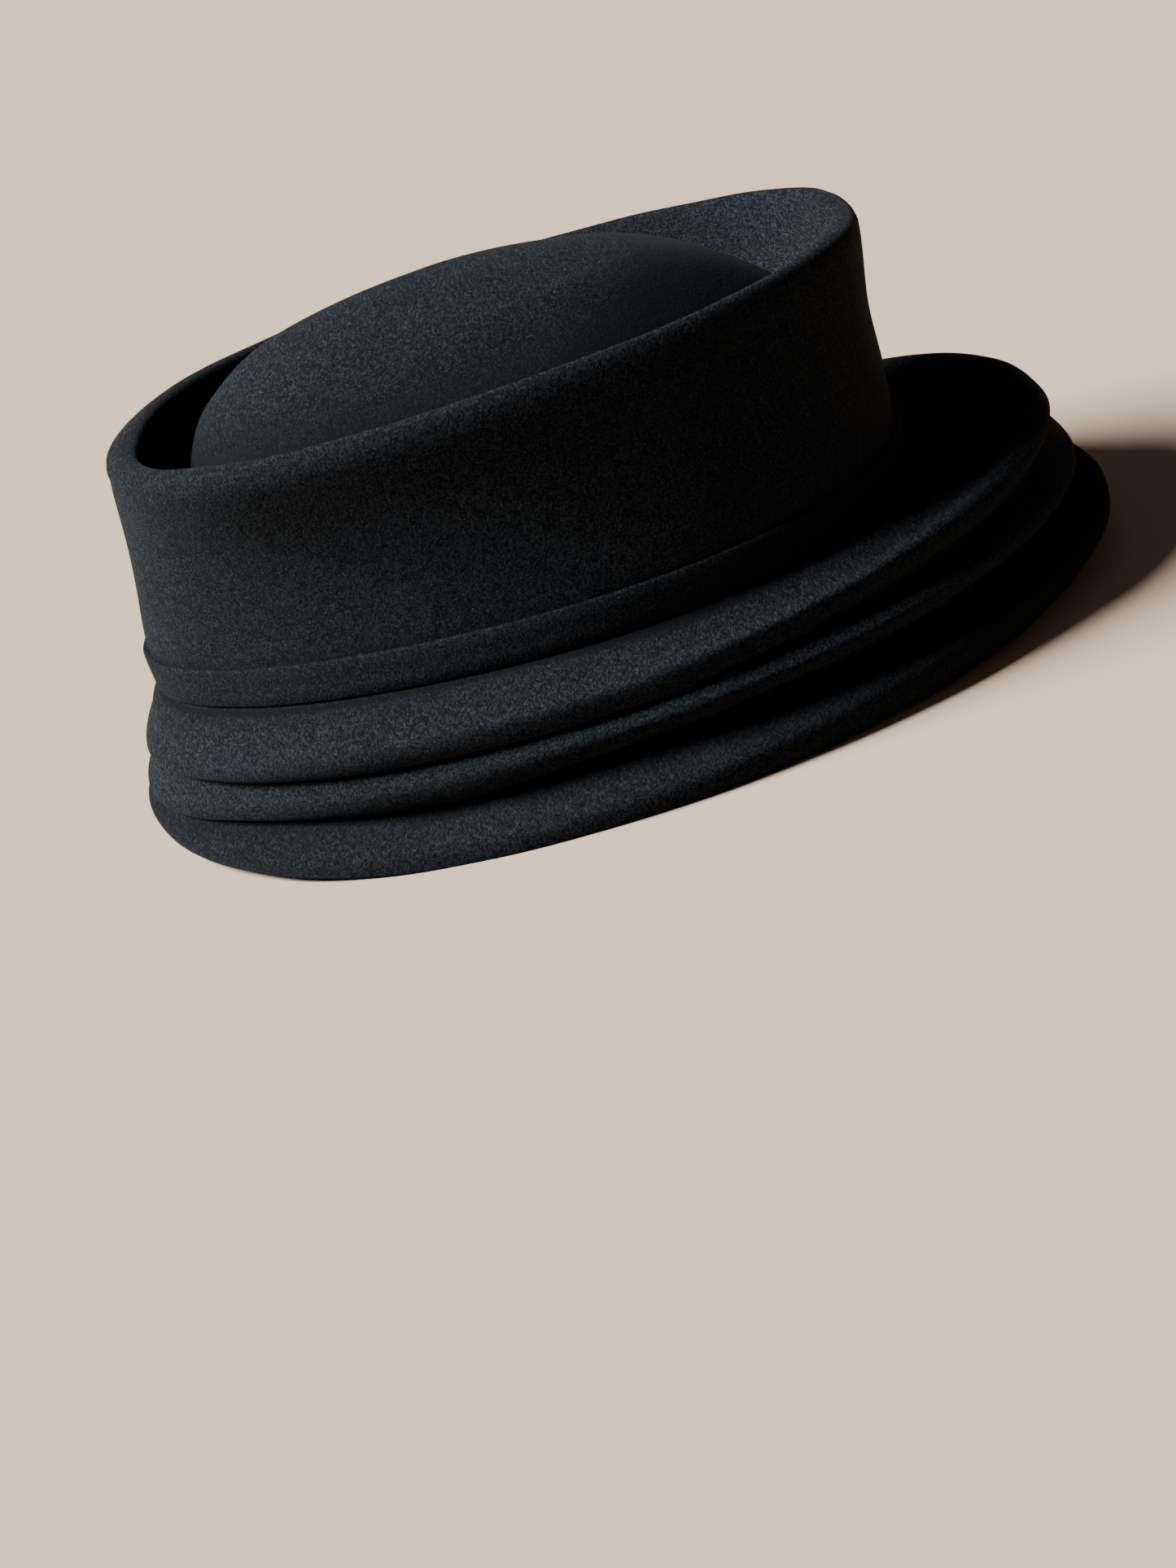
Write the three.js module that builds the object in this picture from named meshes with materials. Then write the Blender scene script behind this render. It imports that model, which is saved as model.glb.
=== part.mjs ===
// A pork pie hat of black felt: a crown with a sunk top, a brim in three rolled tiers, and a felt band.
// Millimetres, +Z up. The forehead side faces -Y, and the wearer's right side faces -X.
// The origin is at the bottom centre of the box around the hat, on the surface that it rests on.

import * as THREE from 'three';

// Crown sizes: the outside of the wall at its base, and the heights above that base.
const HEAD_WIDTH = 164.4;
const HEAD_LENGTH = 203.8;
const CROWN_HEIGHT = 62;
const CROWN_LEAN = 7.1;

// Sunk top: the groove inside the rim, and the dome that stands in it.
const GROOVE_DEPTH = 24.3;
const DOME_RISE = 15.8;
const DOME_SHIFT = 6.5;

// Brim sizes: how far it reaches beyond the crown's base, and how far it drops below it.
const BRIM_FRONT = 49;
const BRIM_SIDE = 25.1;
const BRIM_BACK = 14.4;
const BRIM_DROP = 36.8;
const HEM_WIDTH = 3.6;

// Felt, band and joint sizes.
const FELT = 2.0;
const BAND_THICKNESS = 1.2;
const BAND_HEIGHT = 9.6;
const COLLAR_HEIGHT = 9;
const CLEARANCE = 0.3;

// How a ring climbs from its sides to its front and back ends, as powers of the way there.
const FRONT_BEND = 1.25;
const BACK_BEND = 2.2;

// Facets around each ring.
const AROUND = 64;

// Names each column of a table, so that a row reads as an object.
function table(names, rows) {
  return rows.map((row) => Object.fromEntries(names.map((name, k) => [name, row[k]])));
}

// The crown's outer wall from its base up to the top of the rim.
// wide and long are shares of half the head width and length, lean of the crown's lean forward,
// and rise of the crown's height. box below 1 squares a ring off, and egg widens its front.
const WALL = table(['name', 'wide', 'long', 'lean', 'rise', 'box', 'egg'], [
  ['base', 1.000, 1.000, 0.00, 0.000, 0.91, 0.17],
  ['above band', 0.989, 1.001, 0.02, 0.174, 0.90, 0.19],
  ['lower wall', 0.977, 0.991, 0.30, 0.420, 0.875, 0.14],
  ['upper wall', 0.979, 0.981, 0.56, 0.656, 0.855, 0.065],
  ['flare', 0.992, 0.980, 0.81, 0.858, 0.81, -0.03],
  ['under rim', 0.993, 0.977, 0.89, 0.930, 0.78, -0.055],
  ['rim outside', 0.976, 0.974, 0.93, 0.982, 0.775, -0.065],
  ['rim top', 0.948, 0.928, 1.02, 1.000, 0.77, -0.06],
]);

// The rim's inner face, down into the groove. wide and long are shares of the rim top's own ring,
// back is a share of the dome's shift, and sink is a share of the groove's depth.
const GROOVE = table(['name', 'wide', 'long', 'back', 'sinkFront', 'sinkSide', 'sinkBack', 'box', 'egg'], [
  ['rim inside', 0.975, 0.969, 0.00, 0.04, 0.04, 0.04, 0.78, -0.065],
  ['inner face top', 0.955, 0.947, 0.03, 0.21, 0.20, 0.19, 0.80, -0.08],
  ['inner face', 0.932, 0.922, 0.12, 0.55, 0.55, 0.54, 0.80, -0.08],
  ['inner face foot', 0.911, 0.900, 0.20, 0.81, 0.86, 0.85, 0.81, -0.07],
  ['groove', 0.879, 0.874, 0.25, 0.90, 1.00, 1.00, 0.82, -0.06],
]);

// The dome from its foot to its top. Its rise is a share of the whole way up from the groove.
const DOME = table(['name', 'wide', 'long', 'back', 'riseFront', 'riseSide', 'riseBack', 'box', 'egg'], [
  ['foot', 0.845, 0.858, 0.30, 0.13, 0.06, 0.07, 0.83, -0.05],
  ['flank', 0.800, 0.833, 0.35, 0.24, 0.22, 0.27, 0.84, -0.04],
  ['lower slope', 0.693, 0.762, 0.70, 0.435, 0.435, 0.515, 0.86, -0.03],
  ['slope', 0.580, 0.674, 0.90, 0.615, 0.61, 0.665, 0.88, -0.02],
  ['upper slope', 0.454, 0.551, 0.95, 0.77, 0.787, 0.823, 0.91, 0.00],
  ['shoulder', 0.316, 0.405, 0.95, 0.87, 0.893, 0.92, 0.95, 0.00],
  ['crest', 0.165, 0.214, 1.00, 0.952, 0.968, 0.98, 0.98, 0.00],
  ['top', 0.000, 0.000, 1.00, 1.000, 1.000, 1.000, 1.00, 0.00],
]);

// The brim's outer face, from just outside the band down to the edge that is turned under.
// out is a share of the brim's reach and down a share of its drop, at the front, side and back.
const BRIM = table(
  ['name', 'outFront', 'outSide', 'outBack', 'downFront', 'downSide', 'downBack', 'box', 'egg'], [
  ['root', 0.053, 0.072, 0.030, 0.018, 0.020, 0.036, 0.90, 0.14],
  ['tier 1 inner', 0.295, 0.260, 0.250, 0.025, 0.078, 0.104, 0.87, 0.10],
  ['tier 1 middle', 0.545, 0.478, 0.395, -0.010, 0.152, 0.205, 0.85, 0.06],
  ['tier 1 outer', 0.708, 0.645, 0.560, -0.088, 0.210, 0.290, 0.84, 0.05],
  ['tier 1 nose', 0.790, 0.648, 0.640, -0.035, 0.275, 0.346, 0.84, 0.04],
  ['tier 1 underside', 0.754, 0.560, 0.495, 0.043, 0.343, 0.380, 0.85, 0.045],
  ['fold 1', 0.690, 0.490, 0.455, 0.160, 0.380, 0.418, 0.86, 0.055],
  ['tier 2 top', 0.778, 0.615, 0.640, 0.227, 0.400, 0.490, 0.87, 0.06],
  ['tier 2 nose', 0.870, 0.730, 0.860, 0.324, 0.457, 0.598, 0.87, 0.07],
  ['tier 2 underside', 0.825, 0.628, 0.910, 0.443, 0.536, 0.665, 0.88, 0.06],
  ['fold 2', 0.760, 0.535, 0.885, 0.550, 0.620, 0.695, 0.89, 0.05],
  ['tier 3 top', 0.863, 0.702, 0.960, 0.595, 0.683, 0.722, 0.90, 0.03],
  ['tier 3 nose', 1.000, 0.955, 1.000, 0.640, 0.824, 0.785, 0.90, 0.005],
  ['tier 3 lower', 0.985, 1.000, 0.920, 0.790, 0.917, 0.850, 0.90, -0.01],
  ['edge', 0.900, 0.975, 0.770, 0.915, 1.020, 0.885, 0.90, -0.03],
]);

// The rows of the brim that its inner face follows, one felt thickness in.
const LINED_ROWS = ['tier 1 inner', 'tier 1 middle', 'fold 1', 'tier 2 nose', 'fold 2', 'tier 3 nose'];

// Places that follow from the sizes above. The brim's outline is centred on the origin.
const BASE_Y = (BRIM_FRONT - BRIM_BACK) / 2;
const BASE_Z = BRIM_DROP;
const RIM_Z = BASE_Z + CROWN_HEIGHT;
const GROOVE_Z = RIM_Z - GROOVE_DEPTH;
const HALF_WIDTH = HEAD_WIDTH / 2;
const HALF_LENGTH = HEAD_LENGTH / 2;

// A section is one ring in real sizes: its half width and length, its middle along Y, and its
// height at the front, side and back.
function wallSection(row) {
  const z = BASE_Z + CROWN_HEIGHT * row.rise;
  return {
    width: HALF_WIDTH * row.wide, length: HALF_LENGTH * row.long, middle: BASE_Y - CROWN_LEAN * row.lean,
    front: z, side: z, back: z, box: row.box, egg: row.egg,
  };
}

const RIM = wallSection(WALL[WALL.length - 1]);

function grooveSection(row) {
  return {
    width: RIM.width * row.wide, length: RIM.length * row.long, middle: RIM.middle + DOME_SHIFT * row.back,
    front: RIM_Z - GROOVE_DEPTH * row.sinkFront, side: RIM_Z - GROOVE_DEPTH * row.sinkSide,
    back: RIM_Z - GROOVE_DEPTH * row.sinkBack, box: row.box, egg: row.egg,
  };
}

function domeSection(row) {
  const height = GROOVE_DEPTH + DOME_RISE;
  return {
    width: RIM.width * row.wide, length: RIM.length * row.long, middle: RIM.middle + DOME_SHIFT * row.back,
    front: GROOVE_Z + height * row.riseFront, side: GROOVE_Z + height * row.riseSide,
    back: GROOVE_Z + height * row.riseBack, box: row.box, egg: row.egg,
  };
}

function brimSection(row) {
  const front = HALF_LENGTH + BRIM_FRONT * row.outFront;
  const back = HALF_LENGTH + BRIM_BACK * row.outBack;
  return {
    name: row.name, width: HALF_WIDTH + BRIM_SIDE * row.outSide,
    length: (front + back) / 2, middle: BASE_Y + (back - front) / 2,
    front: BASE_Z - BRIM_DROP * row.downFront, side: BASE_Z - BRIM_DROP * row.downSide,
    back: BASE_Z - BRIM_DROP * row.downBack, box: row.box, egg: row.egg,
  };
}

// The section a part of the way from one section to the next.
function between(a, b, way) {
  const keys = ['width', 'length', 'middle', 'front', 'side', 'back', 'box', 'egg'];
  return Object.fromEntries(keys.map((key) => [key, a[key] + (b[key] - a[key]) * way]));
}

// The point of a section at an angle, which is 0 at the front and a quarter turn at the left side.
// Felt that would hang below the resting surface is pressed level with it.
function sectionPoint(section, angle) {
  const across = Math.sin(angle);
  const along = Math.cos(angle);
  const end = along > 0 ? section.front : section.back;
  const bend = along > 0 ? FRONT_BEND : BACK_BEND;
  const x = section.width * Math.sign(across) * Math.abs(across) ** section.box * (1 + section.egg * along);
  const z = section.side + (end - section.side) * Math.abs(along) ** bend;
  return new THREE.Vector3(x, section.middle - section.length * along, Math.max(0, z));
}

// All the points of a section, counter-clockwise seen from above.
function ring(section) {
  return Array.from({ length: AROUND }, (_, k) => {
    const onMiddle = k % (AROUND / 2) === 0;
    const point = sectionPoint(section, (2 * Math.PI * k) / AROUND);
    return onMiddle ? point.setX(0) : point;
  });
}

// Moves the points of one ring along the surface normal there, which is found from the rings
// above and below it and from the neighbours around it. A positive distance goes outwards.
function offsetRing(upper, own, lower, distance) {
  return own.map((point, k) => {
    const next = own[(k + 1) % AROUND];
    const previous = own[(k + AROUND - 1) % AROUND];
    const around = new THREE.Vector3().subVectors(next, previous);
    const upward = new THREE.Vector3().subVectors(upper[k], lower[k]);
    const normal = new THREE.Vector3().crossVectors(around, upward).normalize();
    return point.clone().addScaledVector(normal, distance);
  });
}

// A list of rings from top to bottom, offset ring by ring.
function offsetSkin(rings, distance) {
  return rings.map((own, k) => {
    const upper = rings[Math.max(k - 1, 0)];
    const lower = rings[Math.min(k + 1, rings.length - 1)];
    return offsetRing(upper, own, lower, distance);
  });
}

// Puts every point of a ring at one height.
function level(points, height) {
  return points.map((point) => point.clone().setZ(height));
}

// Joins rings, and a single point at either end where one is given, into one closed mesh.
// Without end points the last ring is joined to the first.
function closedMesh(rings, ends) {
  const points = rings.flat();
  const triangles = [];
  const joined = ends ? rings.length - 1 : rings.length;
  for (let row = 0; row < joined; row += 1) {
    const upper = row * AROUND;
    const lower = ((row + 1) % rings.length) * AROUND;
    for (let k = 0; k < AROUND; k += 1) {
      const next = (k + 1) % AROUND;
      triangles.push(lower + k, lower + next, upper + next);
      triangles.push(lower + k, upper + next, upper + k);
    }
  }
  if (ends) {
    const first = points.push(ends[0]) - 1;
    const last = points.push(ends[1]) - 1;
    const bottom = (rings.length - 1) * AROUND;
    for (let k = 0; k < AROUND; k += 1) {
      const next = (k + 1) % AROUND;
      triangles.push(first, k, next);
      triangles.push(last, bottom + next, bottom + k);
    }
  }
  const geometry = new THREE.BufferGeometry();
  geometry.setAttribute('position', new THREE.Float32BufferAttribute(points.flatMap((p) => p.toArray()), 3));
  geometry.setIndex(triangles);
  geometry.computeVertexNormals();
  return geometry;
}

const wallSections = WALL.map(wallSection);

// The ring of the crown's wall at a height above its base, moved out by a distance.
function wallRing(height, distance) {
  const rise = height / CROWN_HEIGHT;
  const found = WALL.findIndex((row, k) => k > 0 && rise < row.rise);
  const upper = found < 0 ? WALL.length - 1 : found;
  const way = (rise - WALL[upper - 1].rise) / (WALL[upper].rise - WALL[upper - 1].rise);
  const own = ring(between(wallSections[upper - 1], wallSections[upper], way));
  const shifted = offsetRing(ring(wallSections[upper]), own, ring(wallSections[upper - 1]), distance);
  return level(shifted, BASE_Z + height);
}

// The crown is one felt shell: over the dome, through the groove, over the rim and down the wall.
function crownGeometry() {
  const sections = [...wallSections, ...GROOVE.map(grooveSection), ...DOME.map(domeSection)].reverse();
  const top = sectionPoint(sections[0], 0);
  const outer = sections.slice(1).map(ring);
  const inner = offsetSkin(outer, -FELT);
  inner[inner.length - 1] = wallRing(0, -FELT);
  const underTop = top.clone().setZ(top.z - FELT);
  return closedMesh([...outer, ...inner.reverse()], [top, underTop]);
}

// The brim is a collar inside the crown's foot, three rolled tiers and an edge turned under.
function brimGeometry() {
  const collarOut = -(FELT + CLEARANCE);
  const collarIn = collarOut - FELT;
  const ledge = BASE_Z - CLEARANCE;
  const sections = BRIM.map(brimSection);
  const outer = sections.map(ring);
  const edge = sections[sections.length - 1];
  const hem = ring({ ...edge, width: edge.width - HEM_WIDTH, length: edge.length - HEM_WIDTH });
  const hemTop = hem.map((point) => point.clone().setZ(point.z + FELT));
  const lined = sections.filter((section) => LINED_ROWS.includes(section.name)).map(ring);
  const inner = offsetSkin(lined, -FELT).reverse();
  return closedMesh([
    wallRing(COLLAR_HEIGHT, collarIn),
    wallRing(COLLAR_HEIGHT, collarOut),
    level(wallRing(0, collarOut), ledge),
    level(wallRing(0, 0), ledge),
    ...outer,
    hem,
    hemTop,
    ...inner,
    level(wallRing(0, collarIn), ledge - FELT),
  ]);
}

// The band is a flat felt strip around the foot of the wall, standing one clearance off it.
function bandGeometry() {
  const inside = CLEARANCE;
  const outside = CLEARANCE + BAND_THICKNESS;
  const middle = BAND_HEIGHT / 2;
  return closedMesh([
    wallRing(BAND_HEIGHT, outside),
    wallRing(middle, outside),
    wallRing(0, outside),
    wallRing(0, inside),
    wallRing(middle, inside),
    wallRing(BAND_HEIGHT, inside),
  ]);
}

const blackFelt = new THREE.MeshStandardMaterial({ color: 0x14161a, roughness: 0.95, metalness: 0 });
const bandFelt = new THREE.MeshStandardMaterial({ color: 0x121418, roughness: 0.95, metalness: 0 });

function piece(name, geometry, material) {
  const mesh = new THREE.Mesh(geometry, material);
  mesh.name = name;
  return mesh;
}

const hat = new THREE.Group();
hat.add(piece('crown', crownGeometry(), blackFelt));
hat.add(piece('brim', brimGeometry(), blackFelt));
hat.add(piece('hat_band', bandGeometry(), bandFelt));

export default hat;
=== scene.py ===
"""A pork pie hat of black felt: crown, rolled brim and felt band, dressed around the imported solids."""

import logging
import math
from dataclasses import astuple, dataclass
from enum import Enum, IntEnum
from typing import ClassVar

import bpy
import numpy as np
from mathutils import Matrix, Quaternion, Vector


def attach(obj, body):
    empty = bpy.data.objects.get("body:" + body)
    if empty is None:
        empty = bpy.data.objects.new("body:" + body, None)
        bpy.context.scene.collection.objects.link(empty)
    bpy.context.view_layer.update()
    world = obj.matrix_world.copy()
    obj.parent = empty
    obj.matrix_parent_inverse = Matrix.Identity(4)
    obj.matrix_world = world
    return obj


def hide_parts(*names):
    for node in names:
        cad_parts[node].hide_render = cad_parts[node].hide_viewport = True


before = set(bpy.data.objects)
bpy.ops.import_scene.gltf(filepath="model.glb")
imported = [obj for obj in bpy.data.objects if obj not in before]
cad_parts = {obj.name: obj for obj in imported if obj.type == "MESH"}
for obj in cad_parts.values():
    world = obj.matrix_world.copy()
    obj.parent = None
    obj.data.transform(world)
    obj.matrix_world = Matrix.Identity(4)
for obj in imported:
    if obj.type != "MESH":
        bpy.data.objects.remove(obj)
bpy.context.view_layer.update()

log = logging.getLogger("hat")

Colour = tuple[float, float, float]
Socket = bpy.types.NodeSocket

# Points around each ring of felt.
AROUND = 224

# How far a ring's points move towards its front and back, where a boxy ring has too few.
CROWDING = 0.17

# The powers by which a ring climbs from its sides to its front and to its back.
FRONT_CLIMB = 1.25
BACK_CLIMB = 2.2

# Least values to divide by: a gap and a span in metres, and an area in square metres.
LEAST_GAP = 1e-5
LEAST_SPAN = 1e-4
LEAST_AREA = 1e-12

# The attribute that holds painted shade: how far each point's colour is darkened towards the ground, in
# folds, in the groove and beside pressed edges.
PAINTED_SHADE_ATTRIBUTE = "deep"

# Columns of a ring in an array of rings.
WIDTH, LENGTH, MIDDLE, FRONT, SIDE, BACK, BOX, EGG = range(8)


class Slot(Enum):
    """The material slots of the two felts."""

    FELT = "felt"
    BAND_FELT = "band_felt"


class End(Enum):
    """How the last ring of a shell ends."""

    POLE = "pole"
    LOOP = "loop"


class Joining(Enum):
    """How two values are made one."""

    SUM = "ADD"
    PRODUCT = "MULTIPLY"
    LARGER = "MAXIMUM"


class Lined(IntEnum):
    """The rows of the brim's table that its inner face follows."""

    FIRST_INNER = 1
    FIRST_MIDDLE = 2
    UPPER_FOLD = 6
    SECOND_NOSE = 8
    LOWER_FOLD = 10
    THIRD_NOSE = 12


# Rings of felt.


@dataclass(frozen=True)
class Section:
    """One ring of felt in metres: half width, half length, middle along Y and three heights.

    The box is the power that squares the ring's corners, and the egg widens it towards the front.
    """

    width: float
    length: float
    middle: float
    front: float
    side: float
    back: float
    box: float
    egg: float


def turned(count: int) -> np.ndarray:
    """Gives the angles of a ring's points, closer together at its flat front and back.

    Args:
        count: how many points the ring has.

    Returns:
        The angles in radians, where 0 is the front.
    """
    steps = np.arange(count) * 2 * math.pi / count
    return steps - CROWDING * np.sin(2 * steps)


def ring_points(row: np.ndarray, angles: np.ndarray) -> np.ndarray:
    """Places the points of one ring.

    Args:
        row: one ring's numbers.
        angles: the points' angles, where 0 is the front and a quarter turn the left side.

    Returns:
        An array of points, one per angle, in metres.
    """
    across = np.sin(angles)
    along = np.cos(angles)
    end = np.where(along > 0, row[FRONT], row[BACK])
    power = np.where(along > 0, FRONT_CLIMB, BACK_CLIMB)
    x = row[WIDTH] * np.sign(across) * np.abs(across) ** row[BOX] * (1 + row[EGG] * along)
    y = row[MIDDLE] - row[LENGTH] * along
    z = row[SIDE] + (end - row[SIDE]) * np.abs(along) ** power
    return np.stack([x, y, z], axis=1)


def all_points(rows: np.ndarray, angles: np.ndarray) -> np.ndarray:
    """Places the points of every ring of a face.

    Args:
        rows: the rings' numbers.
        angles: the angles of each ring's points.

    Returns:
        Points as rows of rings.
    """
    return np.stack([ring_points(row, angles) for row in rows])


def smoothed(sections: list[Section], step: float) -> np.ndarray:
    """Draws a smooth line of rings through a few chosen ones.

    Args:
        sections: the chosen rings.
        step: the distance between rings, in metres.

    Returns:
        The rings along the line as rows of numbers, the chosen ones among them.
    """
    rows = np.array([astuple(section) for section in sections])
    # A ring's three heights mostly move together, so a gap counts about one of them.
    gaps = np.linalg.norm(np.diff(rows[:, :BOX], axis=0), axis=1) / math.sqrt(3)
    knots = np.concatenate([[0], np.cumsum(np.maximum(gaps, LEAST_GAP) ** 0.5)])
    slopes = np.zeros_like(rows)
    lengths = np.diff(knots)[:, None]
    secants = np.diff(rows, axis=0) / lengths
    before, after = lengths[:-1], lengths[1:]
    slopes[1:-1] = (secants[:-1] * after + secants[1:] * before) / (before + after)
    slopes[0] = secants[0]
    slopes[-1] = secants[-1]
    made = []
    for k, gap in enumerate(gaps):
        count = max(2, round(gap / step))
        way = (np.arange(count) / count)[:, None]
        start = (2 * way**3 - 3 * way**2 + 1) * rows[k]
        leave = (way**3 - 2 * way**2 + way) * lengths[k] * slopes[k]
        reach = (3 * way**2 - 2 * way**3) * rows[k + 1]
        arrive = (way**3 - way**2) * lengths[k] * slopes[k + 1]
        made.append(start + leave + reach + arrive)
    made.append(rows[-1:])
    return np.concatenate(made)


def normals(rings: np.ndarray) -> np.ndarray:
    """Finds the surface normal at each point of a stack of rings.

    Args:
        rings: points as rows of rings.

    Returns:
        Unit normals, which point outwards where the rings rise and inwards where they go down.
    """
    around = np.roll(rings, -1, axis=1) - np.roll(rings, 1, axis=1)
    normal = np.cross(around, np.gradient(rings, axis=0))
    return normal / np.maximum(np.linalg.norm(normal, axis=2, keepdims=True), LEAST_AREA)


def levelled(points: np.ndarray, height: float) -> np.ndarray:
    """Puts a ring's points at one height.

    Args:
        points: the ring's points.
        height: the height, in metres.

    Returns:
        The moved points.
    """
    made = points.copy()
    made[:, 2] = height
    return made


def share_of(distance: np.ndarray, length: float) -> np.ndarray:
    """Gives how much of a length each distance is, from 0 to 1.

    Args:
        distance: the distances.
        length: the length that counts as 1.

    Returns:
        The shares, where a distance below 0 counts as 0 and one past the length as 1.
    """
    return np.clip(distance / length, 0, 1)


def depth_in_folds(rings: np.ndarray, reach: int, full: float) -> np.ndarray:
    """Finds the depth in a fold of each point of an outer face.

    Args:
        rings: points as rows of rings, from the top of the face to its bottom.
        reach: how many rings up and down the sides of a fold may lie.
        full: the depth that counts as 1, in metres.

    Returns:
        A share from 0 to 1 for each point.
    """
    last = len(rings) - 1
    above = rings[np.maximum(np.arange(last + 1) - reach, 0)]
    below = rings[np.minimum(np.arange(last + 1) + reach, last)]
    depth = -(((above + below) / 2 - rings) * normals(rings)).sum(axis=2)
    return share_of(depth, full)


@dataclass(frozen=True)
class HandWaves:
    """The slight unevenness of felt that was shaped by hand, as a sum of waves, in metres."""

    depth: float
    seed: int
    count: int = 14
    shortest: float = 0.022
    longest: float = 0.075
    usual_sum: float = 3.7

    def over(self, rings: np.ndarray) -> np.ndarray:
        """Finds how far each point lies off the even surface.

        Args:
            rings: points as rows of rings.

        Returns:
            The distances, in metres.
        """
        chance = np.random.default_rng(self.seed)
        total = np.zeros(rings.shape[:2])
        for _ in range(self.count):
            direction = chance.normal(size=3)
            direction /= np.linalg.norm(direction)
            wave = chance.uniform(self.shortest, self.longest)
            phase = chance.uniform(0, 2 * math.pi)
            total += np.sin(rings @ direction * 2 * math.pi / wave + phase)
        return self.depth * total / self.usual_sum


# Work at the bench.


def clear_selection() -> None:
    """Deselects every object."""
    bpy.ops.object.select_all(action="DESELECT")


def raise_shell(name: str, rings: np.ndarray, deep: np.ndarray, end: End) -> bpy.types.Object:
    """Raises a shell from one circle, ring by ring, and presses each ring onto its place.

    Args:
        name: the piece's name.
        rings: the points of each ring, in the order in which they are raised.
        deep: the painted shade of each point, from 0 to 1, in folds and close to edges.
        end: whether the last ring closes to a pole or meets the first.

    Returns:
        The piece, with its place in its mesh.
    """
    clear_selection()
    count = rings.shape[1]
    centres = rings.mean(axis=1)
    spans = np.maximum(np.abs(rings - centres[:, None]).max(axis=1), LEAST_SPAN)
    bpy.ops.mesh.primitive_circle_add(vertices=count, radius=1.0, fill_type="NOTHING", location=(0, 0, 0))
    piece = bpy.context.active_object
    piece.name = name
    piece.data.name = name
    bpy.ops.object.mode_set(mode="EDIT")
    bpy.ops.mesh.select_mode(type="EDGE")
    bpy.ops.mesh.select_all(action="SELECT")
    bpy.ops.transform.resize(value=(spans[0, 0], spans[0, 1], 1), center_override=(0, 0, 0))
    bpy.ops.transform.translate(value=tuple(centres[0]))
    for k in range(1, len(rings)):
        move = tuple(centres[k] - centres[k - 1])
        grow = spans[k] / spans[k - 1]
        bpy.ops.mesh.extrude_region_move(TRANSFORM_OT_translate={"value": move})
        bpy.ops.transform.resize(value=(grow[0], grow[1], 1), center_override=tuple(centres[k]))
    if end is End.POLE:
        bpy.ops.mesh.extrude_region_move(TRANSFORM_OT_translate={"value": (0, 0, 0)})
        bpy.ops.mesh.merge(type="CENTER")
    bpy.ops.object.mode_set(mode="OBJECT")
    press_rings(piece, rings, centres, spans, deep)
    bpy.ops.object.mode_set(mode="EDIT")
    if end is End.LOOP:
        bpy.ops.mesh.select_all(action="DESELECT")
        bpy.ops.mesh.select_non_manifold(extend=False, use_boundary=True)
        bpy.ops.mesh.bridge_edge_loops()
    bpy.ops.mesh.select_all(action="SELECT")
    bpy.ops.mesh.normals_make_consistent(inside=False)
    bpy.ops.object.mode_set(mode="OBJECT")
    return piece


def press_rings(piece: bpy.types.Object, rings: np.ndarray, centres: np.ndarray, spans: np.ndarray,
                deep: np.ndarray) -> None:
    """Presses the round rings of a raised shell onto the hat's own outline, as on a block.

    Args:
        piece: the raised shell.
        rings: the place of each ring's points, ordered by their turn from the front.
        centres: the middle of each ring.
        spans: the reach of each ring along each axis.
        deep: the painted shade of each point, from 0 to 1, in folds and close to edges.
    """
    count = rings.shape[1]
    total = len(piece.data.vertices)
    points = np.empty(total * 3)
    piece.data.vertices.foreach_get("co", points)
    points = points.reshape(-1, 3)
    # The painted shade of each point, kept in the attribute that the felt reads.
    shade_marks = np.zeros(total)
    for k in range(len(rings)):
        own = slice(k * count, (k + 1) * count)
        local = (points[own, :2] - centres[k, :2]) / spans[k, :2]
        turn = np.arctan2(local[:, 0], -local[:, 1])
        order = np.round(turn * count / (2 * math.pi)).astype(int) % count
        points[own] = rings[k][order]
        shade_marks[own] = deep[k][order]
    if total > len(rings) * count:
        points[len(rings) * count:] = rings[-1].mean(axis=0)
    piece.data.vertices.foreach_set("co", points.ravel())
    piece.data.attributes.new(PAINTED_SHADE_ATTRIBUTE, "FLOAT", "POINT").data.foreach_set("value", shade_marks)
    piece.data.update()


def finish_piece(piece: bpy.types.Object, node: str, material: bpy.types.Material) -> None:
    """Gives a piece its finish, hangs it on the root body and hides the solid that it stands for.

    Args:
        piece: the finished shell.
        node: the solid that it stands for.
        material: the felt to put on it.
    """
    piece.data.materials.clear()
    piece.data.materials.append(material)
    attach(piece, "root")
    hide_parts(node)
    log.info("%s: %d faces", piece.name, len(piece.data.polygons))


# Finishes.


@dataclass(frozen=True)
class Pattern:
    """A noise: features to the metre, finer layers, their strength, and what becomes 0 and 1."""

    scale: float
    detail: float
    roughness: float
    low: float
    high: float


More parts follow.
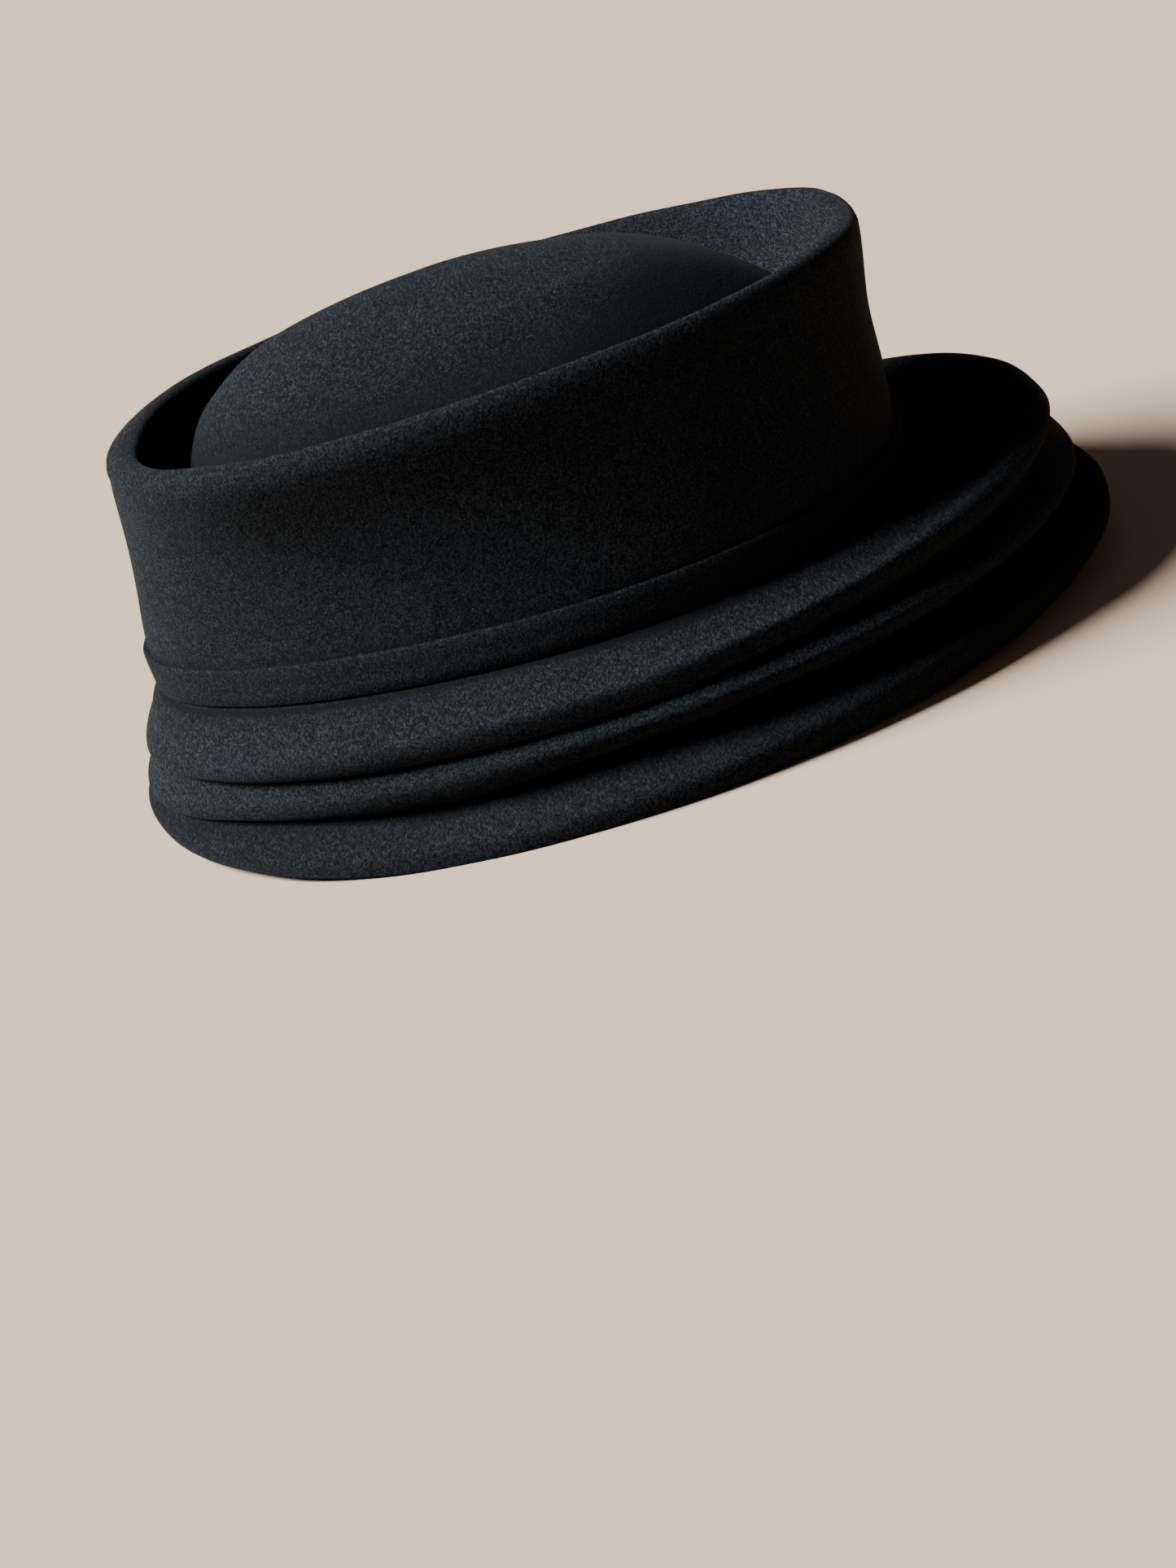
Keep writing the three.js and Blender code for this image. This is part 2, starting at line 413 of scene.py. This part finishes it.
@dataclass(frozen=True)
class Board:
    """The nodes and links of one material, and the few ways in which they are put together."""

    nodes: bpy.types.Nodes
    links: bpy.types.NodeLinks

    def noise(self, pattern: Pattern, place: Socket) -> Socket:
        """Adds a noise.

        Args:
            pattern: the noise's numbers.
            place: the socket that gives the place.

        Returns:
            The noise's socket, from 0 to 1.
        """
        noise = self.nodes.new("ShaderNodeTexNoise")
        noise.inputs["Scale"].default_value = pattern.scale
        noise.inputs["Detail"].default_value = pattern.detail
        noise.inputs["Roughness"].default_value = pattern.roughness
        self.links.new(place, noise.inputs["Vector"])
        return noise.outputs[0]

    def stretched(self, pattern: Pattern, noise: Socket) -> Socket:
        """Stretches a noise smoothly between its pattern's low and high value.

        Args:
            pattern: the noise's numbers.
            noise: the noise's socket.

        Returns:
            A socket that is 0 below the low value and 1 above the high one.
        """
        spread = self.nodes.new("ShaderNodeMapRange")
        spread.interpolation_type = "SMOOTHSTEP"
        spread.inputs["From Min"].default_value = pattern.low
        spread.inputs["From Max"].default_value = pattern.high
        self.links.new(noise, spread.inputs["Value"])
        return spread.outputs["Result"]

    def joined(self, joining: Joining, first: Socket, second: Socket) -> Socket:
        """Makes two values one.

        Args:
            joining: how they are made one.
            first: the first value.
            second: the second value.

        Returns:
            The joined value's socket.
        """
        node = self.nodes.new("ShaderNodeMath")
        node.operation = joining.value
        self.links.new(first, node.inputs[0])
        self.links.new(second, node.inputs[1])
        return node.outputs[0]

    def mixed(self, share: Socket, first: Colour | Socket, second: Colour | Socket) -> Socket:
        """Mixes two colours, each a socket or three numbers.

        Args:
            share: the socket that says how much of the second there is.
            first: the first colour.
            second: the second colour.

        Returns:
            The mixed colour's socket.
        """
        mix = self.nodes.new("ShaderNodeMix")
        mix.data_type = "RGBA"
        self.links.new(share, mix.inputs["Factor"])
        colours = [socket for socket in mix.inputs if socket.type == "RGBA"]
        for socket, colour in zip(colours, (first, second)):
            if isinstance(colour, tuple):
                socket.default_value = (*colour, 1)
            else:
                self.links.new(colour, socket)
        return next(socket for socket in mix.outputs if socket.type == "RGBA")


@dataclass(frozen=True)
class Felt:
    """Napped wool felt: a matte ground, a grain of short fibres and a few paler ones."""

    name: str
    ground: Colour = (0.0005, 0.0008, 0.0013)
    warm_ground: Colour = (0.0010, 0.0008, 0.0010)
    nap: Colour = (0.0057, 0.0077, 0.0102)
    pale_fibre: Colour = (0.0135, 0.0162, 0.0190)
    roughness: float = 0.95
    specular: float = 0.05
    sheen: float = 0.008
    sheen_roughness: float = 0.38
    sheen_tint: Colour = (0.78, 0.88, 0.92)
    grain: Pattern = Pattern(1300.0, 3.0, 0.6, 0.39, 0.63)
    clumps: Pattern = Pattern(390.0, 3.0, 0.6, 0.16, 0.70)
    shade: Pattern = Pattern(16.0, 3.0, 0.5, 0.42, 0.66)
    fibre: Pattern = Pattern(1.0, 1.0, 0.4, 0.58, 0.84)
    fibre_stretch: tuple[float, float, float] = (300, 2000, 2000)
    relief: float = 0.00033
    relief_strength: float = 0.55

    # The directions in which the pale fibres lie, as turns about the three axes in radians.
    FIBRE_TURNS: ClassVar[tuple] = ((0.4, 0.9, 0.2), (1.9, 0.3, 1.1), (0.9, 2.2, 2.0), (2.6, 1.4, 0.5))

    def material(self) -> bpy.types.Material:
        """Makes the felt's material.

        Returns:
            The material, whose patterns lie on Object coordinates.
        """
        made = bpy.data.materials.new(self.name)
        made.use_nodes = True
        board = Board(made.node_tree.nodes, made.node_tree.links)
        shader = board.nodes["Principled BSDF"]
        place = board.nodes.new("ShaderNodeTexCoord").outputs["Object"]
        grain = board.noise(self.grain, place)
        clumps = board.noise(self.clumps, place)
        board.links.new(self._colour(board, place, grain, clumps), shader.inputs["Base Color"])
        shader.inputs["Roughness"].default_value = self.roughness
        shader.inputs["Specular IOR Level"].default_value = self.specular
        shader.inputs["Sheen Weight"].default_value = self.sheen
        shader.inputs["Sheen Roughness"].default_value = self.sheen_roughness
        shader.inputs["Sheen Tint"].default_value = (*self.sheen_tint, 1)
        bump = board.nodes.new("ShaderNodeBump")
        bump.inputs["Strength"].default_value = self.relief_strength
        bump.inputs["Distance"].default_value = self.relief
        board.links.new(board.joined(Joining.SUM, grain, clumps), bump.inputs["Height"])
        board.links.new(bump.outputs["Normal"], shader.inputs["Normal"])
        return made

    def _colour(self, board: Board, place: Socket, grain: Socket, clumps: Socket) -> Socket:
        """Puts the nap and the pale fibres on the ground, and mixes the colour back towards the ground by
        the painted shade.

        Args:
            board: the material's board.
            place: the socket that gives the place.
            grain: the fine noise.
            clumps: the coarse noise.

        Returns:
            The colour's socket.
        """
        warmth = board.stretched(self.shade, board.noise(self.shade, place))
        ground = board.mixed(warmth, self.ground, self.warm_ground)
        fine = board.stretched(self.grain, grain)
        coarse = board.stretched(self.clumps, clumps)
        napped = board.mixed(board.joined(Joining.PRODUCT, fine, coarse), ground, self.nap)
        colour = board.mixed(self._fibres(board, place), napped, self.pale_fibre)
        # Painted shade: the attribute darkens the colour towards the ground in folds, in the groove and
        # at pressed edges.
        deep = board.nodes.new("ShaderNodeAttribute")
        deep.attribute_name = PAINTED_SHADE_ATTRIBUTE
        return board.mixed(deep.outputs["Fac"], colour, self.ground)

    def _fibres(self, board: Board, place: Socket) -> Socket:
        """Adds sparse pale fibres that lie in several directions.

        Args:
            board: the material's board.
            place: the socket that gives the place.

        Returns:
            A socket that is 1 on a fibre and 0 elsewhere.
        """
        result = None
        for turn in self.FIBRE_TURNS:
            mapping = board.nodes.new("ShaderNodeMapping")
            mapping.inputs["Rotation"].default_value = turn
            mapping.inputs["Scale"].default_value = self.fibre_stretch
            board.links.new(place, mapping.inputs["Vector"])
            thin = board.stretched(self.fibre, board.noise(self.fibre, mapping.outputs["Vector"]))
            result = thin if result is None else board.joined(Joining.LARGER, result, thin)
        return result


# The nap of the band's felt, which is darker than the hat's.
BAND_NAP = (0.0044, 0.0058, 0.0078)


@dataclass(frozen=True)
class CrownPaintedShade:
    """Painted shade in the groove and on the dome's foot, and a painted shadow line along the crease
    pressed above the band.

    Strengths are shares of 1, and the rest is in metres. The shade begins at a height above the
    groove's bottom, the top, and begins higher by the front rise ahead of the front.
    """

    strength: float = 0.95
    top: float = 0.032
    fade: float = 0.020
    front_rise: float = 0.010
    front: float = -0.005
    front_fade: float = 0.035
    line: float = 0.0104
    line_strength: float = 0.4
    line_reach: float = 0.0022

    def over(self, rings: np.ndarray, bottom: int, bottom_z: float, base_z: float) -> np.ndarray:
        """Finds how much painted shade each point of the crown gets.

        Args:
            rings: the crown's points as rows of rings, from its foot to the dome's top.
            bottom: which ring lies at the groove's bottom.
            bottom_z: that ring's height.
            base_z: the height of the crown's foot.

        Returns:
            A share from 0 to 1 for each point.
        """
        # Painted shade that grows down into the groove and starts higher on the dome's front, which lies
        # in shadow.
        forward = share_of(self.front - rings[:, :, 1], self.front_fade)
        share = share_of(self.top + self.front_rise * forward - rings[:, :, 2] + bottom_z, self.fade)
        deep = self.strength * share * share * (3 - 2 * share)
        # A painted shadow line along the crease just above the band, on the faces below the groove's
        # bottom.
        pressed = np.abs(rings[:bottom, :, 2] - base_z - self.line)
        deep[:bottom] = self.line_strength * np.clip(1 - pressed / self.line_reach, 0, 1)
        return deep


@dataclass(frozen=True)
class BrimPaintedShade:
    """Painted shade in the brim's folds, on top of the lowest tier and under the band.

    The upper fold, low tier, band and faint are shares of 1. The fold's rings are a count, and all
    other values are in metres.
    """

    fold_rings: int = 5
    fold_depth: float = 0.0024
    upper_fold: float = 0.1
    fold_end: float = 0.110
    fold_fade: float = 0.060
    low_tier: float = 0.7
    low_foot: float = 0.005
    low_fade: float = 0.008
    band: float = 0.92
    band_reach: float = 0.0025
    front_reach: float = 0.0055
    front_start: float = 0.020
    front_fade: float = 0.029
    faint: float = 0.35
    faint_reach: float = 0.008

    def over(self, outer: np.ndarray, second: int, third: int) -> np.ndarray:
        """Finds how much painted shade each point of the brim's outer face gets.

        Args:
            outer: the outer face's points as rows of rings, from the band down.
            second: which ring lies at the second tier's nose, below the shallow upper fold.
            third: which ring lies in the lower fold, where the lowest tier starts.

        Returns:
            A share from 0 to 1 for each point.
        """
        # Painted shade in the folds, faint in the upper fold and fading out towards the back.
        folds = depth_in_folds(outer, self.fold_rings, self.fold_depth)
        folds[:second] *= self.upper_fold
        folds *= share_of(self.fold_end - outer[:, :, 1], self.fold_fade)
        # Painted shade on top of the lowest tier, under the lower fold.
        top = self.low_tier * share_of(outer[third:, :, 2] - self.low_foot, self.low_fade)
        folds[third:] = np.maximum(folds[third:], top)
        # A painted shadow under the band, wider at the front, with a fainter painted shade around it.
        forward = share_of(self.front_start - outer[:, :, 1], self.front_fade)
        reach = self.band_reach + self.front_reach * forward
        away = np.linalg.norm(outer - outer[0], axis=2)
        near = self.band * np.clip(1 - (away / reach) ** 2, 0, 1)
        faint = self.faint * np.clip(1 - away / self.faint_reach, 0, 1)
        return np.maximum(folds, np.maximum(near, faint))


# Sub-assemblies.


@dataclass
class Crown:
    """The crown: outer wall, rolled rim, groove and dome, in metres."""

    head_width: float = 0.1644
    head_length: float = 0.2038
    base_z: float = 0.0368
    base_y: float = 0.0173
    height: float = 0.062
    lean: float = 0.0071
    groove_depth: float = 0.0243
    dome_rise: float = 0.0158
    dome_shift: float = 0.0065
    felt: float = 0.002
    step: float = 0.0016
    pole_width: float = 0.0012
    rim_share: float = 0.995
    even_height: float = 0.010
    even_fade: float = 0.012
    waves: HandWaves = HandWaves(0.00028, 4)
    # The painted shade of the groove, the dome's foot and the crease above the band.
    shade: CrownPaintedShade = CrownPaintedShade()

    # wide, long, lean and rise as shares, box and egg, from the base to the top of the rim.
    WALL: ClassVar[tuple] = (
        (1.000, 1.000, 0.00, 0.000, 0.91, 0.17),
        (0.989, 1.001, 0.02, 0.174, 0.90, 0.19),
        (0.977, 0.991, 0.30, 0.420, 0.875, 0.14),
        (0.979, 0.981, 0.56, 0.656, 0.855, 0.065),
        (0.992, 0.980, 0.81, 0.858, 0.81, -0.03),
        (0.990, 0.978, 0.89, 0.915, 0.78, -0.055),
        (0.974, 0.974, 0.92, 0.974, 0.775, -0.065),
        (0.948, 0.930, 1.02, 1.001, 0.77, -0.06),
    )

    # wide, long and back as shares, how deep at the front, side and back, box and egg.
    GROOVE: ClassVar[tuple] = (
        (0.975, 0.969, 0.00, 0.04, 0.04, 0.04, 0.78, -0.065),
        (0.955, 0.947, 0.03, 0.21, 0.20, 0.19, 0.80, -0.08),
        (0.932, 0.922, 0.12, 0.55, 0.55, 0.54, 0.80, -0.08),
        (0.911, 0.900, 0.20, 0.81, 0.86, 0.85, 0.81, -0.07),
        (0.879, 0.874, 0.25, 0.90, 1.00, 1.00, 0.82, -0.06),
    )

    # wide, long and back as shares, how high at the front, side and back, box and egg.
    DOME: ClassVar[tuple] = (
        (0.851, 0.866, 0.35, 0.13, 0.06, 0.07, 0.82, -0.05),
        (0.809, 0.840, 0.45, 0.24, 0.21, 0.25, 0.82, -0.045),
        (0.695, 0.764, 0.70, 0.435, 0.435, 0.525, 0.85, -0.035),
        (0.580, 0.674, 0.90, 0.615, 0.615, 0.685, 0.88, -0.02),
        (0.454, 0.551, 0.95, 0.77, 0.792, 0.838, 0.91, 0.00),
        (0.316, 0.405, 0.95, 0.87, 0.893, 0.92, 0.95, 0.00),
        (0.165, 0.214, 1.00, 0.952, 0.968, 0.98, 0.98, 0.00),
        (0.000, 0.000, 1.00, 1.000, 1.000, 1.000, 1.00, 0.00),
    )

    def wall(self) -> list[Section]:
        """Makes the wall's rings.

        Returns:
            The rings, from the base to the top of the rim.
        """
        made = []
        for wide, long, lean, rise, box, egg in self.WALL:
            z = self.base_z + self.height * rise
            made.append(Section(self.head_width / 2 * wide, self.head_length / 2 * long,
                                self.base_y - self.lean * lean, z, z, z, box, egg))
        return made

    def groove(self) -> list[Section]:
        """Returns the rings of the rim's inner face, down to the bottom of the groove."""
        return self._inside(self.GROOVE, self.wall()[-1].side, -self.groove_depth)

    def dome(self) -> list[Section]:
        """Returns the dome's rings, from its foot to its top."""
        bottom = self.wall()[-1].side - self.groove_depth
        return self._inside(self.DOME, bottom, self.groove_depth + self.dome_rise)

    def _inside(self, shares: tuple, start: float, climb: float) -> list[Section]:
        """Makes the rings of a face inside the rim.

        Args:
            shares: the face's table.
            start: the height of a share of 0, in metres.
            climb: how far above that a share of 1 lies.

        Returns:
            The rings, in the table's order.
        """
        rim = self.wall()[-1]
        made = []
        for wide, long, back, front_share, side_share, back_share, box, egg in shares:
            made.append(Section(rim.width * wide, rim.length * long, rim.middle + self.dome_shift * back,
                                start + climb * front_share, start + climb * side_share,
                                start + climb * back_share, box, egg))
        return made

    def wall_ring(self, height: float, out: float, angles: np.ndarray) -> np.ndarray:
        """Finds the wall's ring at a height above its base, moved out by a distance.

        Args:
            height: the height above the base, in metres.
            out: how far outside the wall, in metres.
            angles: the angles of the ring's points.

        Returns:
            The ring's points.
        """
        rows = smoothed(self.wall(), self.step)
        z = self.base_z + height
        row = np.array([np.interp(z, rows[:, SIDE], column) for column in rows.T])
        points = ring_points(row, angles)
        around = np.roll(points, -1, axis=0) - np.roll(points, 1, axis=0)
        normal = np.cross(around, np.array([0, 0, 1.0]))
        normal /= np.linalg.norm(normal, axis=1, keepdims=True)
        return levelled(points + normal * out, z)

    def build(self) -> bpy.types.Object:
        """Raises the crown and gives it the felt's thickness.

        Returns:
            The crown's shell.
        """
        rows = smoothed([*self.wall(), *self.groove(), *self.dome()], self.step)
        rows = rows[rows[:, WIDTH] > self.pole_width]
        rings = all_points(rows, turned(AROUND))
        fade = share_of(rings[:, :, 2] - self.base_z - self.even_height, self.even_fade)
        uneven = self.waves.over(rings) * fade
        rings = rings + normals(rings) * uneven[:, :, None]
        rim = int(np.argmax(rows[:, SIDE] > self.base_z + self.height * self.rim_share))
        bottom = rim + int(np.argmin(rows[rim:, SIDE]))
        # Painted shade in the groove, on the dome's foot and along the crease above the band.
        deep = self.shade.over(rings, bottom, rows[bottom, SIDE], self.base_z)
        piece = raise_shell("crown_shell", rings, deep, End.POLE)
        thick = piece.modifiers.new("felt thickness", "SOLIDIFY")
        thick.thickness = self.felt
        thick.offset = -1
        thick.use_even_offset = True
        bpy.ops.object.modifier_apply(modifier=thick.name)
        bpy.ops.object.shade_smooth()
        return piece

    def dress(self, piece: bpy.types.Object, felt: bpy.types.Material) -> None:
        """Puts the felt on the crown."""
        finish_piece(piece, "crown", felt)


@dataclass
class Brim:
    """The brim: a collar, three rolled tiers with two folds between them, and a turned edge."""

    crown: Crown
    front: float = 0.0490
    side: float = 0.0251
    back: float = 0.0144
    drop: float = 0.0368
    hem_width: float = 0.0036
    felt: float = 0.002
    collar_height: float = 0.009
    clearance: float = 0.0003
    sag: float = 0.0030
    sag_place: float = 0.050
    sag_length: float = 0.038
    sag_z: float = 0.0125
    sag_height: float = 0.0080
    step: float = 0.0011
    even_rings: int = 8
    waves: HandWaves = HandWaves(0.00022, 9)
    # The painted shade of the folds, the lowest tier and the felt under the band.
    shade: BrimPaintedShade = BrimPaintedShade()

    # Reach at the front, side and back and drop at the front, side and back as shares, box, egg.
    TIERS: ClassVar[tuple] = (
        (0.053, 0.072, 0.030, 0.018, 0.020, 0.036, 0.90, 0.14),
        (0.295, 0.260, 0.250, 0.025, 0.078, 0.104, 0.87, 0.10),
        (0.545, 0.478, 0.395, -0.010, 0.152, 0.205, 0.85, 0.06),
        (0.708, 0.645, 0.560, -0.088, 0.210, 0.290, 0.84, 0.05),
        (0.790, 0.650, 0.640, -0.035, 0.290, 0.348, 0.84, 0.04),
        (0.754, 0.625, 0.515, 0.043, 0.354, 0.385, 0.85, 0.045),
        (0.690, 0.510, 0.465, 0.160, 0.376, 0.416, 0.86, 0.055),
        (0.778, 0.615, 0.640, 0.227, 0.400, 0.490, 0.87, 0.06),
        (0.870, 0.730, 0.860, 0.324, 0.457, 0.598, 0.87, 0.07),
        (0.825, 0.650, 0.895, 0.443, 0.558, 0.670, 0.88, 0.06),
        (0.755, 0.475, 0.840, 0.550, 0.622, 0.702, 0.89, 0.05),
        (0.863, 0.660, 0.950, 0.603, 0.710, 0.735, 0.90, 0.03),
        (1.000, 0.955, 1.000, 0.640, 0.824, 0.785, 0.90, 0.005),
        (0.985, 1.000, 0.920, 0.790, 0.917, 0.850, 0.90, -0.01),
        (0.900, 0.975, 0.770, 0.915, 1.020, 0.885, 0.90, -0.03),
    )

    def tiers(self) -> list[Section]:
        """Makes the rings of the outer face.

        Returns:
            The rings, from just outside the band to the turned edge.
        """
        half_width = self.crown.head_width / 2
        half_length = self.crown.head_length / 2
        made = []
        for front, side, back, front_down, side_down, back_down, box, egg in self.TIERS:
            ahead = half_length + self.front * front
            behind = half_length + self.back * back
            made.append(Section(half_width + self.side * side, (ahead + behind) / 2,
                                self.crown.base_y + (behind - ahead) / 2,
                                self.crown.base_z - self.drop * front_down,
                                self.crown.base_z - self.drop * side_down,
                                self.crown.base_z - self.drop * back_down, box, egg))
        return made

    def build(self) -> bpy.types.Object:
        """Raises the brim as one closed loop of felt, from its collar round the edge and back.

        Returns:
            The brim's shell.
        """
        angles = turned(AROUND)
        tiers = self.tiers()
        rows = smoothed(tiers, self.step)
        outer = self._sagged(all_points(rows, angles))
        fade = np.minimum(np.arange(len(outer)) / self.even_rings, 1)[:, None]
        outer = outer + normals(outer) * (-self.waves.over(outer) * fade)[:, :, None]
        outer[:, :, 2] = np.maximum(outer[:, :, 2], 0)
        lined = self._sagged(all_points(smoothed([tiers[row] for row in Lined], self.step * 2), angles))
        inner = lined + normals(lined) * self.felt
        foot, collar = self._collar(angles)
        rings = np.stack([*collar, *outer, *self._hem(tiers[-1], angles), *inner[::-1], foot])
        second = int(np.argmin(np.abs(rows[:, SIDE] - tiers[Lined.SECOND_NOSE].side)))
        third = int(np.argmin(np.abs(rows[:, SIDE] - tiers[Lined.LOWER_FOLD].side)))
        # Painted shade on the outer face only: in the folds, on the lowest tier and under the band.
        deep = np.zeros(rings.shape[:2])
        deep[len(collar):len(collar) + len(outer)] = self.shade.over(outer, second, third)
        piece = raise_shell("brim_shell", rings, deep, End.LOOP)
        bpy.ops.object.shade_smooth()
        return piece

    def _collar(self, angles: np.ndarray) -> tuple[np.ndarray, list[np.ndarray]]:
        """Makes the collar inside the crown's foot and the ledge that the crown stands on.

        Args:
            angles: the angles of each ring's points.

        Returns:
            The ring at the inner foot, and the rings from the collar's top down and out to the ledge.
        """
        outside = -(self.felt + self.clearance)
        inside = outside - self.felt
        ledge = self.crown.base_z - self.clearance
        foot = levelled(self.crown.wall_ring(0, inside, angles), ledge - self.felt)
        return foot, [
            self.crown.wall_ring(self.collar_height, inside, angles),
            self.crown.wall_ring(self.collar_height, outside, angles),
            levelled(self.crown.wall_ring(0, outside, angles), ledge),
            levelled(self.crown.wall_ring(0, 0, angles), ledge),
        ]

    def _hem(self, edge: Section, angles: np.ndarray) -> tuple[np.ndarray, np.ndarray]:
        """Makes the rings of the felt that is turned under at the edge.

        Args:
            edge: the edge's ring.
            angles: the angles of each ring's points.

        Returns:
            The hem's lower and upper ring.
        """
        row = np.array(astuple(edge))
        row[WIDTH] -= self.hem_width
        row[LENGTH] -= self.hem_width
        lower = ring_points(row, angles)
        upper = lower + np.array([0, 0, self.felt])
        lower[:, 2] = np.maximum(lower[:, 2], 0)
        return lower, upper

    def _sagged(self, rings: np.ndarray) -> np.ndarray:
        """Lets the lower fold hang a little at the sides, towards the back.

        Args:
            rings: points as rows of rings.

        Returns:
            The moved points.
        """
        along = np.exp(-((rings[:, :, 1] - self.sag_place) / self.sag_length) ** 2)
        level = np.exp(-((rings[:, :, 2] - self.sag_z) / self.sag_height) ** 2)
        moved = rings.copy()
        moved[:, :, 2] -= self.sag * along * level
        return moved

    def dress(self, piece: bpy.types.Object, felt: bpy.types.Material) -> None:
        """Puts the felt on the brim."""
        finish_piece(piece, "brim", felt)


@dataclass
class HatBand:
    """The felt strip around the foot of the crown, with raw cut edges, in metres and degrees."""

    crown: Crown
    thickness: float = 0.0012
    height: float = 0.0096
    clearance: float = 0.0003
    softness: float = 0.0005
    tuck: float = 0.2
    crease_angle: float = 50

    def build(self) -> bpy.types.Object:
        """Raises the band as one closed loop of felt.

        Returns:
            The band's strip.
        """
        angles = turned(AROUND)
        inside = self.clearance
        tucked = inside * self.tuck
        outside = self.clearance + self.thickness
        soft = self.softness
        # Height above the crown's foot, distance from its wall and how much painted shade the felt gets
        # there.
        outline = (
            (self.height - soft, outside, 0.20),
            (self.height * 0.66, outside, 0.20),
            (self.height * 0.33, outside, 0.10),
            (soft, outside, 0.00),
            (0.0, outside - soft, 0.30),
            (0.0, inside, 0.30),
            (self.height * 0.5, inside, 0.30),
            (self.height * 0.93, tucked, 0.85),
            (self.height, tucked, 0.85),
            (self.height, outside - soft, 0.10),
        )
        rings = np.stack([self.crown.wall_ring(height, out, angles) for height, out, _ in outline])
        # Painted shade: most on the tucked top of the inner face, some on the inner face and the foot,
        # fading down the outer face.
        deep = np.repeat(np.array([shade_share for _, _, shade_share in outline])[:, None], AROUND, axis=1)
        piece = raise_shell("band_strip", rings, deep, End.LOOP)
        bpy.ops.object.shade_smooth_by_angle(angle=math.radians(self.crease_angle))
        return piece

    def dress(self, piece: bpy.types.Object, felt: bpy.types.Material) -> None:
        """Puts the felt on the band."""
        finish_piece(piece, "hat_band", felt)


# The studio.


@dataclass(frozen=True)
class SoftLight:
    """One soft, distant light: where it comes from, how wide it looks in degrees, power and colour."""

    name: str
    source: tuple[float, float, float]
    spread: float
    power: float
    colour: Colour

    def hang(self) -> None:
        """Adds the light to the scene."""
        data = bpy.data.lights.new(self.name, "SUN")
        data.angle = math.radians(self.spread)
        data.energy = self.power
        data.color = self.colour
        lamp = bpy.data.objects.new(self.name, data)
        bpy.context.scene.collection.objects.link(lamp)
        lamp.location = self.source
        lamp.rotation_euler = (-Vector(self.source)).to_track_quat("-Z", "Y").to_euler()


@dataclass
class Studio:
    """A pale floor, soft light and the camera, which looks along the hat's right side.

    Places are in metres, angles in degrees, and the lens and the sensor in millimetres.
    """

    camera_place: tuple[float, float, float] = (-0.60048, -0.00187, 0.22362)
    heading: float = 2.244
    pitch: float = -23.123
    roll: float = -18.995
    lens: float = 54.177
    sensor_width: float = 36
    floor_size: float = 60
    floor_place: tuple[float, float, float] = (20, 0, 0)
    floor_colour: Colour = (0.262, 0.199, 0.137)
    floor_roughness: float = 0.7
    room_colour: Colour = (0.93, 0.90, 0.87)
    room_strength: float = 0.10
    lights: tuple[SoftLight, ...] = (
        SoftLight("window", (0.02, 0.76, 0.65), 26, 24.0, (0.97, 0.99, 1.0)),
        SoftLight("warm wall", (-0.35, -1.0, 0.25), 60, 0.25, (1.0, 0.42, 0.30)),
    )

    def lay_floor(self) -> None:
        """Lays the pale floor, which is not part of the hat."""
        clear_selection()
        bpy.ops.mesh.primitive_plane_add(size=self.floor_size, location=self.floor_place)
        floor = bpy.context.active_object
        floor.name = "floor"
        paint = bpy.data.materials.new("pale floor")
        paint.use_nodes = True
        shader = paint.node_tree.nodes["Principled BSDF"]
        shader.inputs["Base Color"].default_value = (*self.floor_colour, 1)
        shader.inputs["Roughness"].default_value = self.floor_roughness
        floor.data.materials.append(paint)

    def light_up(self) -> None:
        """Adds the soft lights and the room's own light."""
        for light in self.lights:
            light.hang()
        world = bpy.data.worlds.new("room")
        world.use_nodes = True
        glow = world.node_tree.nodes["Background"]
        glow.inputs["Color"].default_value = (*self.room_colour, 1)
        glow.inputs["Strength"].default_value = self.room_strength
        bpy.context.scene.world = world

    def set_camera(self) -> None:
        """Sets the camera at the viewing angle of the hat's right side, rolled to the right."""
        data = bpy.data.cameras.new("view")
        data.lens = self.lens
        data.sensor_width = self.sensor_width
        camera = bpy.data.objects.new("view", data)
        bpy.context.scene.collection.objects.link(camera)
        turn = math.radians(self.heading)
        tilt = math.radians(self.pitch)
        ahead = Vector((math.cos(tilt) * math.cos(turn), math.cos(tilt) * math.sin(turn), math.sin(tilt)))
        facing = ahead.to_track_quat("-Z", "Y")
        camera.rotation_mode = "QUATERNION"
        camera.rotation_quaternion = facing @ Quaternion((0, 0, 1), math.radians(self.roll))
        camera.location = self.camera_place
        bpy.context.scene.camera = camera


def main() -> None:
    """Builds and dresses the hat, piece by piece, and sets the studio."""
    logging.basicConfig(level=logging.INFO, format="%(name)s: %(message)s")
    felt = Felt("napped felt").material()
    band_felt = Felt("band felt", nap=BAND_NAP).material()
    crown = Crown()
    crown.dress(crown.build(), felt)
    brim = Brim(crown)
    brim.dress(brim.build(), felt)
    band = HatBand(crown)
    band.dress(band.build(), band_felt)
    studio = Studio()
    studio.lay_floor()
    studio.light_up()
    studio.set_camera()


if __name__ == "__main__":
    main()
